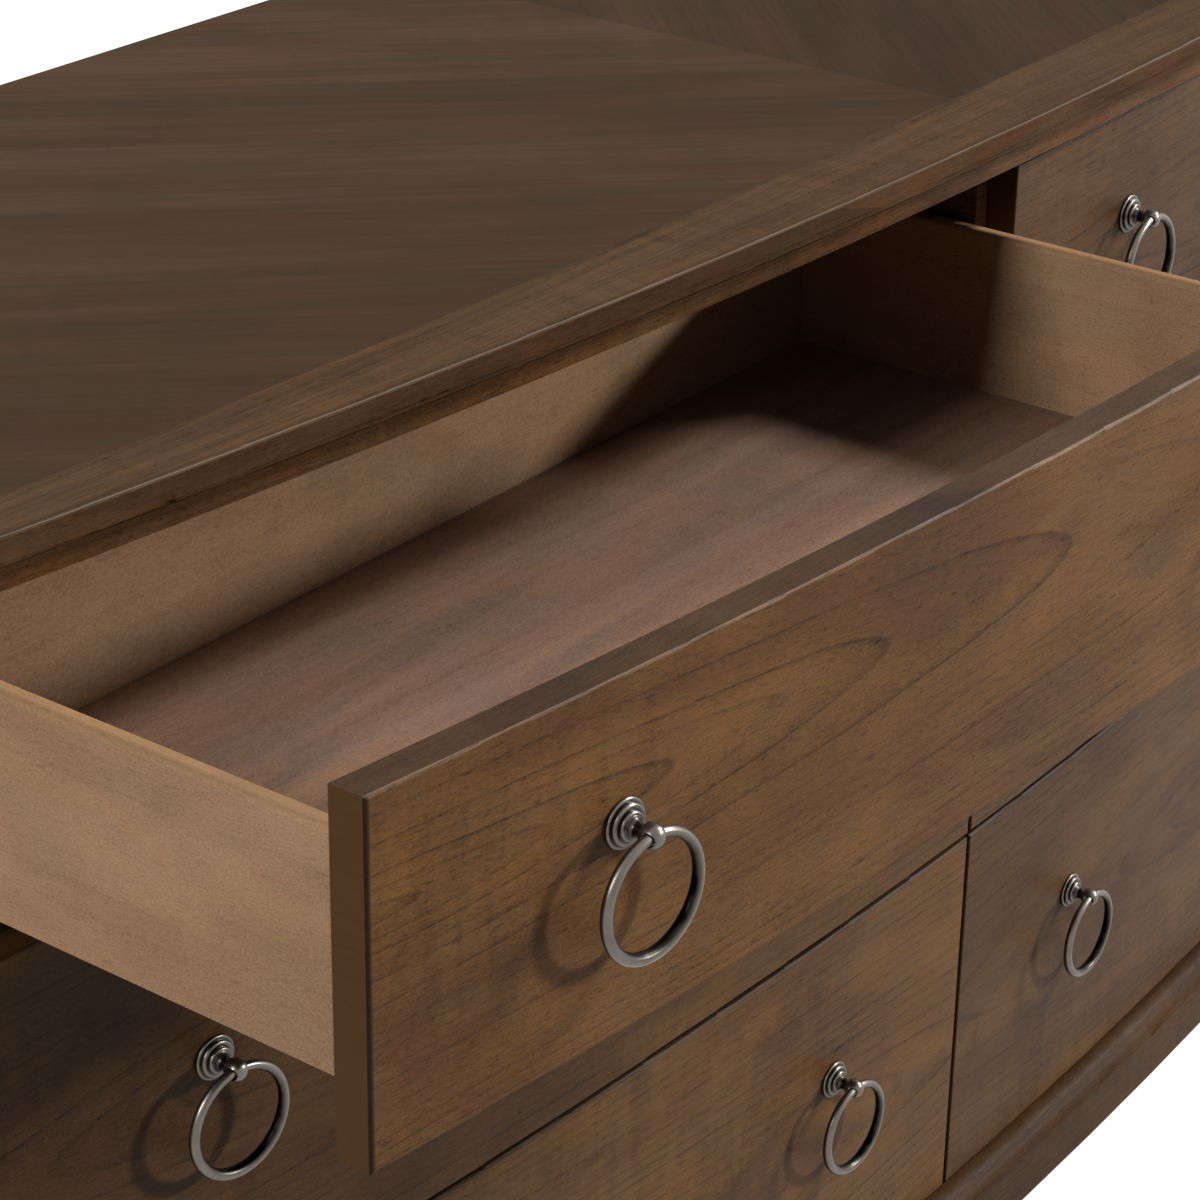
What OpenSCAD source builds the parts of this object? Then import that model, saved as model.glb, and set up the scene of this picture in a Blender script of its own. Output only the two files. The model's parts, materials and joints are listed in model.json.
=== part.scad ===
// Bow-front dresser with six drawers in two columns, a moulded base and ring pulls.
// Millimetres, +Z up, front towards -Y, floor at Z = 0. The working frame has Y = 0 at the
// crest of the closed drawer faces; the last move centres the resting model on its origin.

/* [Bow front] */
// Radius of the drawer faces seen from above, shared by every curved front piece
bow_r = 6880; // [4500:10:12000]

/* [Case] */
// Width over the two case sides
case_w = 1670; // [1400:1:1900]
// Depth from the crest of the drawer faces to the back of the case
case_d = 502; // [480:1:580]
// Thickness of each case side
side_t = 16; // [15:0.5:22]
// Thickness of the partition between the two columns
partition_t = 22; // [16:0.5:28]
// Thickness of the bottom panel
floor_t = 18; // [12:0.5:22]
// Thickness of the back panel
back_t = 6; // [4:0.5:9]
// Width of the rebate in each case side that takes the back panel
rebate_w = 9; // [6:0.5:12]
// Height of the rails between the drawer rows
rail_h = 18; // [12:0.5:20]
// Depth of the rails between the drawer rows, front to back
rail_d = 60; // [40:1:90]

/* [Top] */
// Thickness of the top
top_t = 16; // [12:0.5:25]
// Overhang of the top in front of the drawer faces
top_out = 10; // [6:0.5:20]
// Overhang of the top past each case side
top_side = 16; // [8:0.5:25]
// Overhang of the top past the back of the case
top_back = 6; // [0:0.5:12]
// Radius of the top's eased edges
top_ease = 1.6; // [0.5:0.1:3]
// Thickness of the sub-top
sub_t = 13; // [8:0.5:20]
// Step from the top's edge back to the sub-top's edge
sub_in = 5; // [2:0.5:6]

/* [Drawer fronts] */
// Height of the fronts in the top row
top_row_h = 180; // [150:1:240]
// Height of the fronts in the middle and bottom rows
low_row_h = 279; // [220:1:320]
// Thickness of each front
front_t = 19; // [16:0.5:25]
// Gap between neighbouring fronts
front_gap = 3; // [2:0.5:5]
// Gap between a closed front and the case behind it
close_gap = 1; // [0.5:0.1:2]
// Radius of the eased edges round each front
front_ease = 1.5; // [0.5:0.1:3]
// How far the top left drawer stands open
top_left_open = 250; // [0:1:270]

/* [Drawer boxes] */
// Thickness of a box side and of the box back
box_t = 11; // [9:0.5:15]
// Radius on the top edges of the box walls
box_round = 4; // [1:0.5:4]
// Running gap between a box and the case on each side
box_gap = 5; // [4:0.5:8]
// Drop from the front's top edge to the top of the box
box_drop = 36; // [25:1:60]
// Rise from the front's bottom edge to the bottom of the box sides
box_rise = 23; // [23:0.5:30]
// Distance from the crest of the drawer faces to the outside of the box back
box_d = 393; // [360:1:420]
// Thickness of the drawer bottom
bottom_t = 6; // [4:0.5:8]
// Height of the drawer bottom above the lower edge of the box sides
bottom_up = 13.5; // [10.5:0.5:16]
// Depth of the groove that holds the drawer bottom
groove_d = 5; // [3:0.5:7]

/* [Slides] */
// Length of each steel track in the case
track_l = 400; // [350:5:400]
// Distance from the crest of the drawer faces to the front of the tracks and runners
track_y = 80; // [75:1:90]
// Sheet thickness of a track
track_t = 1.5; // [1:0.1:1.8]
// Width of the track's hollow rail under the drawer bottom
track_rail_w = 12; // [8:0.5:20]
// Depth of the track's web below the box side
track_drop = 14; // [12:0.5:14]
// Height of the track's flange above the lower edge of the box side
track_flange_up = 12; // [6:0.5:20]
// Sheet thickness of a runner
runner_t = 1.2; // [0.8:0.1:1.5]
// How far a runner's legs reach below the box side
runner_leg = 6; // [3:0.5:8]
// Running gap between a runner and its track
slide_gap = 0.6; // [0.3:0.1:1]

/* [Ring pulls] */
// Outside diameter of a ring
ring_d = 66; // [45:1:75]
// Wire diameter of a ring
ring_wire = 6.4; // [5.6:0.1:7]
// Diameter of the ring's straight pin inside the post head
pin_d = 5; // [4:0.1:5.2]
// Radial clearance of the pin in the head's bore
pin_clear = 0.05; // [0.02:0.01:0.1]
// Distance from the drawer face to the pin
pull_reach = 18; // [17:0.5:24]
// Radius of the post's head
head_r = 5.9; // [5:0.1:7]
// Radius of the rosette on the drawer face
rosette_r = 12.4; // [10.5:0.1:15]
// Distance from either end of a front to its nearer pull
pull_inset = 150; // [80:1:220]
// Drop from a top-row front's top edge to its pulls
pull_drop_top = 72; // [50:1:90]
// Drop from a lower front's top edge to its pulls
pull_drop_low = 112; // [60:1:150]
// Diameter of the screw that holds a pull
screw_d = 4; // [3:0.1:4.4]

/* [Base] */
// Height of the feet with their glides
foot_h = 95; // [60:1:140]
// Largest radius of a turned foot
foot_r = 34; // [28:1:40]
// Thickness of a floor glide
glide_t = 3; // [2:0.5:6]
// Radius of a floor glide
glide_r = 14; // [8:0.5:15]
// Height of the base moulding
mould_h = 56; // [45:1:70]
// How far the base moulding stands out past the fronts and the case sides
mould_out = 16; // [10:0.5:17]
// Radius of the moulding's rounded top
mould_round = 18; // [17:0.5:24]
// Thickness of the boards in the base frame
board_t = 20; // [16:0.5:30]
// Size of the corner blocks in the base frame
block_w = 80; // [60:1:110]

/* [Hidden] */
fit = 0.1;
bow_fn = 2160;
turn_fn = 72;
past = 5;

function bow_y(r, x) = bow_r - sqrt(r * r - x * x);
function bow_angle(x) = asin(x / bow_r);

case_x = case_w / 2;
inner_x = case_x - side_t;
mid_x = partition_t / 2;
edge_r = bow_r - front_t - close_gap;
back_y = case_d - back_t;

z_base = foot_h;
z_floor = z_base + mould_h;
z_bottom_row = z_floor + front_gap;
z_middle_row = z_bottom_row + low_row_h + front_gap;
z_top_row = z_middle_row + low_row_h + front_gap;
z_sub = z_top_row + top_row_h + front_gap;
z_top = z_sub + sub_t;

top_x = case_x + top_side;
top_y = case_d + top_back;
mould_x = case_x + mould_out;
sweep_x = max(top_x, mould_x) + 4 * past;
sweep_in = bow_r - top_y - past;
sweep_angle = 2 * asin(sweep_x / sweep_in);

front_x0 = front_gap / 2;
front_x1 = case_x;
box_x0 = mid_x + box_gap;
box_x1 = inner_x - box_gap;
pull_x = [front_x1 - pull_inset, front_x0 + pull_inset];

// Ring and post
ring_r = (ring_d - ring_wire) / 2;
ring_gap = head_r + 0.7;
ring_drop = sqrt(ring_r * ring_r - ring_gap * ring_gap);
head_front = pull_reach + 4.4;
head_round = 2.2;
screw_in = 8;
screw_head_r = 4.5;
screw_head_t = 2.2;
screw_hole = 0.3;

// The front pull of the open drawer is the foremost point of the resting model
lead_a = bow_angle(pull_x[1]);
lead_w = head_front * cos(lead_a) + (head_r - head_round) * sin(lead_a);
lead_y = bow_y(bow_r, pull_x[1]) - lead_w - top_left_open;
mid_y = (lead_y + top_y) / 2;

// Name, column (-1 left, 1 right), bottom edge, front height, pull drop and opening
drawers = [
    ["top_left", -1, z_top_row, top_row_h, pull_drop_top, top_left_open],
    ["top_right", 1, z_top_row, top_row_h, pull_drop_top, 0],
    ["middle_left", -1, z_middle_row, low_row_h, pull_drop_low, 0],
    ["middle_right", 1, z_middle_row, low_row_h, pull_drop_low, 0],
    ["bottom_left", -1, z_bottom_row, low_row_h, pull_drop_low, 0],
    ["bottom_right", 1, z_bottom_row, low_row_h, pull_drop_low, 0]
];
function drawer_nodes(name) = [
    str(name, "_drawer_front"),
    str(name, "_drawer_box"),
    str(name, "_drawer_bottom"),
    str(name, "_drawer_runners"),
    str(name, "_pull_posts"),
    str(name, "_outer_ring"),
    str(name, "_inner_ring")
];

// Colours
c_top = "#5a4230";
c_case = "#64482f";
c_front = "#76563a";
c_box = "#a58a6c";
c_bottom = "#8f7868";
c_inner = "#5c4632";
c_metal = "#8d8a86";
c_steel = "#9aa0a6";
c_glide = "#3a3a3a";

// Helpers

// Sweeps a profile of (radius, height) along the bow
module bow_sweep() {
    translate([0, bow_r, 0])
        rotate([0, 0, -90 - sweep_angle / 2])
            rotate_extrude(angle = sweep_angle, $fn = bow_fn) children();
}

// Box between two corners
module block(lo, hi) {
    translate(lo) cube(hi - lo);
}

// Box between two corners, cut in front to the bow of radius r
module bowed_block(r, lo, hi) {
    intersection() {
        block(lo, hi);
        translate([0, bow_r, lo[2] - past])
            cylinder(r = r, h = hi[2] - lo[2] + 2 * past, $fn = bow_fn);
    }
}

// Profile whose outer edge at radius r_out is eased above and below
module eased_profile(r_in, r_out, z0, z1, ease) {
    translate([r_in, z0]) square([r_out - ease - r_in, z1 - z0]);
    translate([r_out - ease - fit, z0 + ease]) square([ease + fit, z1 - z0 - 2 * ease]);
    for (z = [z0 + ease, z1 - ease])
        translate([r_out - ease, z]) circle(r = ease, $fn = turn_fn);
}

// Extrudes an outline of (x, z) along Y from y0 to y1
module along_y(y0, y1) {
    translate([0, y1, 0]) rotate([90, 0, 0]) linear_extrude(y1 - y0) children();
}

module both_sides() {
    for (s = [0, 1]) mirror([s, 0, 0]) children();
}

// The last move of every piece
module settle() {
    translate([0, -mid_y, 0]) children();
}

module in_drawer(d) {
    settle()
        translate([0, -d[5], 0])
            mirror([d[1] < 0 ? 1 : 0, 0, 0]) children();
}

// Stands its children on the drawer face at x and z, with -Y pointing straight out of it
module on_face(x, z) {
    translate([x, bow_y(bow_r, x), z]) rotate([0, 0, bow_angle(x)]) children();
}

// Case

module top_panel() {
    color(c_top) settle() intersection() {
        bow_sweep()
            eased_profile(sweep_in, bow_r + top_out, z_top, z_top + top_t, top_ease);
        along_y(-top_out - past, top_y) both_sides()
            eased_profile(-past, top_x, z_top, z_top + top_t, top_ease);
    }
}

module sub_top() {
    x = top_x - sub_in;
    color(c_case) settle()
        bowed_block(bow_r + top_out - sub_in,
            [-x, -top_out - past, z_sub + fit], [x, case_d, z_top - fit]);
}

// Right-hand case side with the rebate for the back panel
module case_side() {
    color(c_case) difference() {
        bowed_block(edge_r, [inner_x, 0, z_base], [case_x, case_d, z_sub]);
        block([inner_x - past, back_y - fit, z_base - past],
            [inner_x + rebate_w, case_d + past, z_sub + past]);
    }
}

module side_right() {
    settle() case_side();
}

module side_left() {
    settle() mirror([1, 0, 0]) case_side();
}

module center_partition() {
    color(c_inner) settle()
        bowed_block(edge_r, [-mid_x, 0, z_floor + fit], [mid_x, back_y - fit, z_sub - fit]);
}

module back_panel() {
    x = inner_x + rebate_w - fit;
    color(c_inner) settle() block([-x, back_y, z_base], [x, case_d, z_sub - fit]);
}

module bottom_panel() {
    x = inner_x - fit;
    color(c_inner) settle()
        bowed_block(edge_r, [-x, 0, z_floor - floor_t], [x, back_y - fit, z_floor]);
}

// One rail over the middle row and one over the bottom row, in both columns
module drawer_rails() {
    color(c_inner) settle() both_sides()
        for (z = [z_middle_row, z_top_row]) {
            z0 = z - front_gap / 2 - rail_h / 2;
            intersection() {
                bow_sweep() translate([edge_r - rail_d, z0]) square([rail_d, rail_h]);
                block([mid_x + fit, -past, z0 - past], [inner_x - fit, case_d, z0 + rail_h + past]);
            }
        }
}

// Base

// Front, back and middle boards with a block in each corner
module base_frame() {
    z1 = z_floor - floor_t - fit;
    x1 = inner_x - fit;
    front_in = edge_r - board_t;
    color(c_inner) settle() {
        intersection() {
            bow_sweep() translate([front_in, z_base]) square([board_t, z1 - z_base]);
            block([-x1, -past, z_base - past], [x1, case_d, z1 + past]);
        }
        block([-x1, back_y - board_t, z_base], [x1, back_y - fit, z1]);
        bowed_block(front_in - fit, [-board_t / 2, 0, z_base], [board_t / 2, back_y - board_t - fit, z1]);
        both_sides() {
            bowed_block(front_in - fit, [x1 - block_w, 0, z_base],
                [x1, bow_y(edge_r, x1) + board_t + block_w, z1]);
            block([x1 - block_w, back_y - board_t - block_w, z_base], [x1, back_y - board_t - fit, z1]);
        }
    }
}

// Section of the base moulding from its back at `a` to its face at `b`
module mould_profile(a, b) {
    chamfer = 2;
    ease_x = b - mould_round;
    z_round = z_floor - mould_round;
    polygon([
        [a, z_base], [b - chamfer, z_base], [b, z_base + chamfer], [b, z_round],
        [max(a, ease_x), z_round], [max(a, ease_x), z_floor], [a, z_floor]
    ]);
    intersection() {
        translate([ease_x, z_round]) circle(r = mould_round, $fn = turn_fn);
        translate([a, z_base]) square([b - a, mould_h]);
    }
}

// Plan of the right-hand mitre: all that lies on the side moulding's side of the joint
module mitre_plan(gap) {
    a = asin(mould_x / (bow_r + mould_out));
    corner_y = bow_y(bow_r + mould_out, mould_x);
    slope = (1 - sin(a)) / cos(a);
    y_in = corner_y + mould_out * slope + gap;
    y_out = corner_y - past * slope + gap;
    polygon([
        [case_x, y_in], [mould_x + past, y_out], [mould_x + past, case_d + past], [case_x, case_d + past]
    ]);
}

module base_moulding_front() {
    color(c_case) settle() difference() {
        intersection() {
            bow_sweep() mould_profile(edge_r + fit, bow_r + mould_out);
            block([-mould_x, -mould_out - past, z_base - past], [mould_x, case_d, z_floor + past]);
        }
        both_sides() translate([0, 0, z_base - past])
            linear_extrude(mould_h + 2 * past) mitre_plan(0);
    }
}

module side_moulding() {
    color(c_case) intersection() {
        along_y(0, case_d) mould_profile(case_x + fit, mould_x);
        translate([0, 0, z_base - past]) linear_extrude(mould_h + 2 * past) mitre_plan(fit);
    }
}

module base_moulding_right() {
    settle() side_moulding();
}

module base_moulding_left() {
    settle() mirror([1, 0, 0]) side_moulding();
}

foot_x = mould_x - foot_r - past;
foot_y_front = bow_y(bow_r + mould_out, foot_x) + foot_r + past;
foot_y_back = case_d - foot_r - past;

// Turned foot: a collar under the base, then a swelling that tapers to the floor
module foot(x, y) {
    z0 = glide_t;
    z1 = z_base;
    collar_h = 8;
    bead_r = 3;
    toe_r = glide_r + 5;
    belly_z = z1 - collar_h - 2 * bead_r;
    color(c_case) settle() translate([x, y, 0])
        rotate_extrude($fn = turn_fn) {
            translate([0, z1 - collar_h]) square([foot_r, collar_h]);
            translate([0, belly_z]) square([foot_r - 2 * bead_r, z1 - belly_z]);
            translate([foot_r - 2 * bead_r, z1 - collar_h - bead_r]) circle(r = bead_r, $fn = turn_fn);
            polygon([
                [0, z0], [toe_r - 2, z0], [toe_r, z0 + 2], [toe_r + 4, z0 + (belly_z - z0) * 0.3],
                [foot_r - 6, z0 + (belly_z - z0) * 0.7], [foot_r - 2, belly_z - 6],
                [foot_r - 3, belly_z - 2], [foot_r - 2 * bead_r, belly_z], [0, belly_z]
            ]);
        }
}

module foot_front_left() {
    foot(-foot_x, foot_y_front);
}

module foot_front_right() {
    foot(foot_x, foot_y_front);
}

module foot_back_left() {
    foot(-foot_x, foot_y_back);
}

module foot_back_right() {
    foot(foot_x, foot_y_back);
}

module floor_glides() {
    color(c_glide) settle()
        for (x = [-foot_x, foot_x], y = [foot_y_front, foot_y_back])
            translate([x, y, 0]) cylinder(r = glide_r, h = glide_t, $fn = turn_fn);
}

// Slides: profiles of (distance from the case wall, height above the lower edge of the box side)

rail_u = box_gap + box_t + 2 * fit + runner_t + slide_gap;
runner_top = bottom_up - fit;

module track_profile() {
    rail_top = runner_top - runner_t - slide_gap;
    translate([0, -track_drop]) square([track_t, track_drop + track_flange_up]);
    translate([0, -track_drop]) square([rail_u + track_rail_w, track_t]);
    difference() {
        translate([rail_u, -track_drop]) square([track_rail_w, track_drop + rail_top]);
        translate([rail_u + track_t, track_t - track_drop])
            square([track_rail_w - 2 * track_t, track_drop + rail_top - 2 * track_t]);
    }
}

module runner_profile() {
    u0 = rail_u - slide_gap - runner_t;
    w = track_rail_w + 2 * (slide_gap + runner_t);
    difference() {
        translate([u0, -runner_leg]) square([w, runner_leg + runner_top]);
        translate([u0 + runner_t, -runner_leg - past])
            square([w - 2 * runner_t, runner_leg + past + runner_top - runner_t]);
    }
}

// Draws a slide profile at both walls of the right-hand column
module at_both_walls(z, y0, y1) {
    along_y(y0, y1) {
        translate([mid_x + fit, z]) children();
        translate([inner_x - fit, z]) mirror([1, 0]) children();
    }
}

module slide_tracks() {
    color(c_steel) settle()
        for (d = drawers) mirror([d[1] < 0 ? 1 : 0, 0, 0])
            at_both_walls(d[2] + box_rise, track_y, track_y + track_l) track_profile();
}

// Drawers

// Plan of a front with the two upright front edges eased
module front_plan() {
    e = front_ease;
    rc = bow_r - e;
    x0 = front_x0 + e;
    x1 = front_x1 - e;
    y0 = bow_y(rc, x0);
    y1 = bow_y(rc, x1);
    a0 = asin(x0 / rc);
    a1 = asin(x1 / rc);
    y_back = bow_y(bow_r - front_t, front_x1) + past;
    polygon([
        [front_x0, y_back], [front_x0, y0], [x0, y0],
        [x0 + e * sin(a0), y0 - e * cos(a0)], [x0 + e * sin(a0), -past],
        [x1 + e * sin(a1), -past], [x1 + e * sin(a1), y1 - e * cos(a1)],
        [x1, y1], [front_x1, y1], [front_x1, y_back]
    ]);
    translate([x0, y0]) circle(r = e, $fn = turn_fn);
    translate([x1, y1]) circle(r = e, $fn = turn_fn);
}

// Curved front with its groove for the drawer bottom and the screw holes of its pulls
module drawer_front(d) {
    z0 = d[2];
    z1 = z0 + d[3];
    groove_z = z0 + box_rise + bottom_up;
    back_r = bow_r - front_t;
    color(c_front) in_drawer(d) difference() {
        intersection() {
            bow_sweep() eased_profile(back_r, bow_r, z0, z1, front_ease);
            translate([0, 0, z0 - past]) linear_extrude(d[3] + 2 * past) front_plan();
        }
        intersection() {
            bow_sweep() translate([back_r - past, groove_z - fit])
                square([past + groove_d + fit, bottom_t + 2 * fit]);
            block([box_x0 + box_t - groove_d - fit, -past, groove_z - past],
                [box_x1 - box_t + groove_d + fit, case_d, groove_z + bottom_t + past]);
        }
        for (x = pull_x) on_face(x, z1 - d[4]) rotate([90, 0, 0]) cylinder(
            r = screw_d / 2 + screw_hole, h = 2 * front_t + 2 * past, center = true, $fn = turn_fn);
    }
}

// Section of a box wall of thickness box_t, rounded on top
module wall_profile(z0, z1) {
    translate([0, z0]) square([box_t, z1 - box_round - z0]);
    translate([box_round, z1 - box_round - fit]) square([box_t - 2 * box_round, box_round + fit]);
    for (x = [box_round, box_t - box_round])
        translate([x, z1 - box_round]) circle(r = box_round, $fn = turn_fn);
}

// Two sides grooved for the bottom, and the back that stands on the bottom
module drawer_box(d) {
    z0 = d[2] + box_rise;
    z1 = d[2] + d[3] - box_drop;
    z_in = z0 + bottom_up;
    inner_w = box_x1 - box_x0 - 2 * box_t;
    color(c_box) in_drawer(d) {
        difference() {
            intersection() {
                along_y(0, box_d) {
                    translate([box_x0, 0]) wall_profile(z0, z1);
                    translate([box_x1 - box_t, 0]) wall_profile(z0, z1);
                }
                translate([0, bow_r, z0 - past])
                    cylinder(r = bow_r - front_t - fit, h = z1 - z0 + 2 * past, $fn = bow_fn);
            }
            block([box_x0 + box_t - groove_d - fit, -past, z_in - fit],
                [box_x1 - box_t + groove_d + fit, box_d + past, z_in + bottom_t + fit]);
        }
        translate([box_x0 + box_t + fit, box_d - box_t, 0])
            rotate([90, 0, 90]) linear_extrude(inner_w - 2 * fit)
                wall_profile(z_in + bottom_t + fit, z1);
    }
}

module drawer_bottom(d) {
    z = d[2] + box_rise + bottom_up;
    color(c_bottom) in_drawer(d)
        bowed_block(bow_r - front_t + groove_d,
            [box_x0 + box_t - groove_d, -past, z],
            [box_x1 - box_t + groove_d, box_d, z + bottom_t]);
}

module drawer_runners(d) {
    color(c_steel) in_drawer(d)
        at_both_walls(d[2] + box_rise, track_y, box_d) runner_profile();
}

// Ring pulls

// Half section of a post: rosette with two beads, waist, then the head that holds the ring
module post_profile() {
    rim = 0.9;
    bead_a = 1.3;
    bead_b = 1.2;
    ra = rosette_r - 3;
    rb = rosette_r - 5.6;
    head_w = pull_reach - 4.4;
    translate([0, 0]) square([rosette_r - rim, 2 * rim]);
    translate([rosette_r - rim, rim]) circle(r = rim, $fn = turn_fn);
    translate([0, rim]) square([ra, 2 * rim + bead_a]);
    translate([ra - bead_a / 2, 2 * rim + bead_a / 2]) circle(r = bead_a, $fn = turn_fn);
    translate([rb, 2 * rim + bead_a + bead_b]) circle(r = bead_b, $fn = turn_fn);
    polygon([
        [0, rim], [rb, rim], [rb, 6.2], [4, 7.4], [3.5, 9], [3.7, 10.4], [head_r - 0.7, head_w - 1.6],
        [head_r, head_w], [head_r, head_front - head_round], [0, head_front - head_round]
    ]);
    translate([0, head_w]) square([head_r - head_round, head_front - head_w]);
    translate([head_r - head_round, head_front - head_round]) circle(r = head_round, $fn = turn_fn);
}

// One post and the screw behind the front that holds it
module pull_post() {
    rotate([90, 0, 0]) difference() {
        rotate_extrude($fn = turn_fn) intersection() {
            translate([0, fit]) square([rosette_r + past, head_front]);
            post_profile();
        }
        translate([0, 0, pull_reach]) rotate([0, 90, 0])
            cylinder(r = pin_d / 2 + pin_clear, h = 4 * head_r, center = true, $fn = turn_fn);
        cylinder(r = screw_d / 2 + pin_clear, h = 2 * screw_in, center = true, $fn = turn_fn);
    }
    translate([0, front_t + fit, 0]) rotate([90, 0, 0]) {
        cylinder(r = screw_d / 2, h = front_t + screw_in - 2 * fit, $fn = turn_fn);
        translate([0, 0, -screw_head_t]) cylinder(r = screw_head_r, h = screw_head_t, $fn = turn_fn);
    }
}

module pull_posts(d) {
    color(c_metal) in_drawer(d)
        for (x = pull_x) on_face(x, d[2] + d[3] - d[4]) pull_post();
}

// Ring whose top is opened for the head and closed by a straight pin through it
module ring(d, x) {
    pin_l = 2 * (ring_gap + ring_wire / 5);
    color(c_metal) in_drawer(d) on_face(x, d[2] + d[3] - d[4]) translate([0, -pull_reach, 0]) {
        difference() {
            translate([0, 0, -ring_drop]) rotate([90, 0, 0])
                rotate_extrude($fn = 2 * turn_fn) translate([ring_r, 0])
                    circle(r = ring_wire / 2, $fn = turn_fn);
            block([-ring_gap, -ring_wire, -ring_wire], [ring_gap, ring_wire, ring_wire]);
        }
        rotate([0, 90, 0]) cylinder(r = pin_d / 2, h = pin_l, center = true, $fn = turn_fn);
    }
}

top_panel();
sub_top();
side_left();
side_right();
center_partition();
back_panel();
bottom_panel();
drawer_rails();
base_frame();
base_moulding_front();
base_moulding_left();
base_moulding_right();
foot_front_left();
foot_front_right();
foot_back_left();
foot_back_right();
floor_glides();
slide_tracks();
for (d = drawers) {
    names = drawer_nodes(d[0]);
    drawer_front(d);
    drawer_box(d);
    drawer_bottom(d);
    drawer_runners(d);
    pull_posts(d);
    ring(d, pull_x[0]);
    ring(d, pull_x[1]);
}
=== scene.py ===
import json
import math

import bmesh
import bpy
from mathutils import Matrix, Vector


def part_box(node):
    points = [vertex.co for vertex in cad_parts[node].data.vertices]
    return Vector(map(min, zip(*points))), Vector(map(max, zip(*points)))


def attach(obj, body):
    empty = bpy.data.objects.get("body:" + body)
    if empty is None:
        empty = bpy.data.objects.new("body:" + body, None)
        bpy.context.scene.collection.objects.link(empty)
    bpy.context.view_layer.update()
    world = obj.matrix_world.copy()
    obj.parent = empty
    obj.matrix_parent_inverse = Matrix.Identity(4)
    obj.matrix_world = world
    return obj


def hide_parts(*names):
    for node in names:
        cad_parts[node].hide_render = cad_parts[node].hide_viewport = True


# Bow-front dresser in stained cherry, with ring pulls in aged pewter.
# Metres, +Z up. The drawers open towards -Y, and the top left one stands open.

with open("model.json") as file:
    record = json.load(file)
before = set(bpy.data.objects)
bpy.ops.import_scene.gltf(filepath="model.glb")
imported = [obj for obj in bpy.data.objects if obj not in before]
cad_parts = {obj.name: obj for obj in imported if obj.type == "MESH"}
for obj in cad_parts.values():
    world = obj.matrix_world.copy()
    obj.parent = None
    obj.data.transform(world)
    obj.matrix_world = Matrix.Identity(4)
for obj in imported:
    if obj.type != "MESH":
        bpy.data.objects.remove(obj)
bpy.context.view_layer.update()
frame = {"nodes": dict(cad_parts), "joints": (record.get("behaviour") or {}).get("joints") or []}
nodes = frame["nodes"]
print("frame loaded:", len(nodes), "nodes")


def mm(value):
    return value / 1000


rows = ["top", "middle", "bottom"]
columns = ["left", "right"]
drawers = [row + "_" + column for row in rows for column in columns]


# Shader helpers

def hexColor(code):
    channels = [int(code[i:i + 2], 16) / 255 for i in (1, 3, 5)]
    linear = [c / 12.92 if c <= 0.04045 else ((c + 0.055) / 1.055) ** 2.4 for c in channels]
    return linear + [1.0]


# Inputs are a list in the order of the sockets, or a dictionary by their names or numbers
def addNode(tree, kind, settings, inputs):
    node = tree.nodes.new("ShaderNode" + kind)
    for name, value in settings.items():
        setattr(node, name, value)
    pairs = inputs.items() if isinstance(inputs, dict) else enumerate(inputs)
    for key, value in pairs:
        if isinstance(value, bpy.types.Node):
            value = value.outputs[0]
        if isinstance(value, bpy.types.NodeSocket):
            tree.links.new(value, node.inputs[key])
        else:
            node.inputs[key].default_value = value
    return node


# Settings that many nodes share
plus = {"operation": "ADD"}
minus = {"operation": "SUBTRACT"}
times = {"operation": "MULTIPLY"}
timesPlus = {"operation": "MULTIPLY_ADD"}
over = {"operation": "DIVIDE"}
larger = {"operation": "MAXIMUM"}
smaller = {"operation": "MINIMUM"}
absolute = {"operation": "ABSOLUTE"}
scaled = {"operation": "SCALE"}
smooth = {"interpolation_type": "SMOOTHSTEP"}
byNumber = {"noise_dimensions": "1D"}


def newMaterial(name):
    material = bpy.data.materials.new(name)
    material.use_nodes = True
    material.node_tree.nodes.clear()
    return material, material.node_tree


# Wood

# What every wood starts from. Sizes are real ones, and a pair is the length and width of a streak.
# The log's centre lies at pith across the board, and the cut slopes by tilt through it, so that
# the rings, a ringGap wide, run out in arches on both sides of apex and wave by wander.
# A tone is the share of the colour's light that its streaks take away or add, and depth scales it all.
plainWood = {
    "base": "#714f2c", "warm": "#634329", "grey": "#6b4d2f", "depth": 1.0, "seed": 0.0,
    "ringGap": mm(6.5), "tilt": 0.075, "apex": 0.0, "pith": 0.0, "wander": mm(14), "rippleShare": 0.2,
    "wave": (mm(420), mm(120)), "ripple": (mm(90), mm(30)), "ringTone": 0.16, "lineTone": 0.4,
    "warmPatch": (mm(190), mm(75)), "greyPatch": (mm(110), mm(40)),
    "blotch": (mm(150), mm(60)), "blotchTone": 0.34, "speckle": (mm(1.7), mm(0.8)), "speckleTone": 1.0,
    "figure": (mm(13), mm(80)), "figureTone": 0.5, "fibre": (mm(22), mm(0.8)), "fibreTone": 0.3,
    "pore": (mm(6), mm(0.6)), "poreTone": 0.34, "fleck": (mm(9), mm(3.2)), "fleckTone": 0.3,
    "roughness": 0.42, "bump": 0.12, "bumpHeight": mm(0.3), "sheen": 0.06,
}

# Where in the noise, or in a ring's width, a streak starts to show and where it shows in full
onset = {
    "late": (0.25, 0.95), "lineIn": (0.76, 0.94), "lineOut": (1.0, 0.955), "ripple": (0.25, 0.6),
    "blotch": (0.3, 0.7), "figure": (0.42, 0.6), "fibre": (0.42, 0.7), "pore": (0.52, 0.7),
    "fleck": (0.76, 0.84), "warm": (0.42, 0.6), "grey": (0.48, 0.66),
}


def woodLook(**changes):
    look = dict(plainWood)
    look.update(changes)
    return look


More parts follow.
